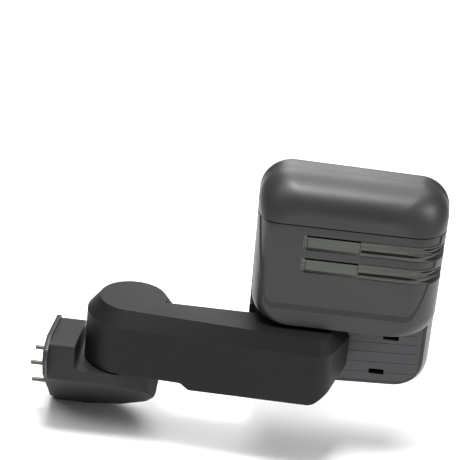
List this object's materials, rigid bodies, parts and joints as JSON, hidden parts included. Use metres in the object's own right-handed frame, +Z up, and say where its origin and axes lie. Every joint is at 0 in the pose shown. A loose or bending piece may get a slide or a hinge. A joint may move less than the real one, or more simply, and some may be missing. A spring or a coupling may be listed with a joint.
{
  "type": "towing mirror",
  "caption": "Vehicle door towing mirror: folding arm, sliding head, flat glass above a convex glass, side turn-signal bars and a reversing lamp beside the glass.",
  "frame": {"origin": "centre of the three door studs, on the plane of the door panel", "axes": "+X outboard from the door, +Y towards the rear of the vehicle (the way the glasses face), +Z up"},
  "size_m": [0.554, 0.1727, 0.4203],
  "materials": {
    "shell": "grained dark grey moulded plastic",
    "arm": "grained near-black moulded plastic",
    "foot": "grained charcoal moulded plastic",
    "panel": "grained dark grey moulded plastic",
    "cast": "die-cast, as cast",
    "steel": "ground and zinc plated",
    "zinc": "zinc plated, passivated",
    "bush": "natural acetal",
    "rubber": "matt black rubber",
    "inner": "black glass-filled nylon",
    "mirror": "silvered glass",
    "heater": "printed foil on film",
    "smoke": "smoked clear acrylic",
    "clear": "clear polycarbonate",
    "reflector": "metallised plastic",
    "led": "yellow phosphor",
    "board": "solder-masked laminate",
    "gear": "natural acetal",
    "motor": "plated steel can"
  },
  "bodies": {
    "foot": {"foot_cover": "foot", "foot_casting": "cast", "door_gasket": "rubber", "door_studs": "zinc", "harness_grommet": "rubber", "pivot_post": "steel", "detent_ring": "steel", "foot_cover_screws": "zinc", "pivot_spring": "steel", "spring_retainer": "zinc"},
    "arm": {"arm_cover": "arm", "arm_floor": "arm", "arm_casting": "cast", "pivot_bush": "bush", "detent_cam": "steel", "slide_bushes": "bush", "arm_screws": "zinc"},
    "head": {"head_frame": "inner", "slide_rods": "steel", "rear_housing": "shell", "lower_panel": "panel", "front_shell": "shell", "head_cap": "shell", "signal_lenses": "smoke", "signal_panels": "smoke", "actuator_case": "inner", "actuator_cover": "inner", "actuator_screws": "zinc", "frame_screws": "zinc", "tilt_motor": "motor", "pan_motor": "motor", "rear_lamp_bezel": "panel", "rear_lamp_lens": "clear", "rear_lamp_reflector": "reflector", "rear_lamp_leds": "led", "rear_lamp_board": "board", "tilt_gear_nut": "gear", "pan_gear_nut": "gear", "tilt_pinion": "gear", "pan_pinion": "gear"},
    "glass_gimbal": {"gimbal_ring": "gear"},
    "glass": {"glass_holder": "inner", "heater_pad": "heater", "upper_glass": "mirror"},
    "spotter_gimbal": {"spotter_ring": "gear"},
    "spotter": {"spotter_holder": "inner", "lower_glass": "mirror"},
    "tilt_plunger": {"tilt_plunger": "gear"},
    "pan_plunger": {"pan_plunger": "gear"}
  },
  "joints": [
    {"name": "fold_pivot", "type": "hinge", "parent": "foot", "child": "arm", "pos_m": [0.112, 0, 0.075], "axis": [0, 0, 1], "range_deg": [-60, 75]},
    {"name": "telescope", "type": "slide", "parent": "arm", "child": "head", "axis": [1, 0, 0], "range_m": [-0.088, 0]},
    {"name": "glass_tilt", "type": "hinge", "parent": "head", "child": "glass_gimbal", "pos_m": [0.398, 0.061, 0.214], "axis": [1, 0, 0], "range_deg": [-7, 7]},
    {"name": "glass_pan", "type": "hinge", "parent": "glass_gimbal", "child": "glass", "pos_m": [0.398, 0.061, 0.214], "axis": [0, 0, 1], "range_deg": [-7, 7]},
    {"name": "spotter_tilt", "type": "hinge", "parent": "head", "child": "spotter_gimbal", "pos_m": [0.39, 0.061, 0.076], "axis": [1, 0, 0], "range_deg": [-6, 6]},
    {"name": "spotter_pan", "type": "hinge", "parent": "spotter_gimbal", "child": "spotter", "pos_m": [0.39, 0.061, 0.076], "axis": [0, 0, 1], "range_deg": [-6, 6]},
    {"name": "tilt_plunger_slide", "type": "slide", "parent": "head", "child": "tilt_plunger", "axis": [0, 1, 0], "range_m": [-0.004, 0.004]},
    {"name": "pan_plunger_slide", "type": "slide", "parent": "head", "child": "pan_plunger", "axis": [0, 1, 0], "range_m": [-0.004, 0.004]}
  ],
  "couplings": [
    {"joint": "tilt_plunger_slide", "follows": "glass_tilt", "m_per_rad": -0.032},
    {"joint": "pan_plunger_slide", "follows": "glass_pan", "m_per_rad": 0.032}
  ]
}
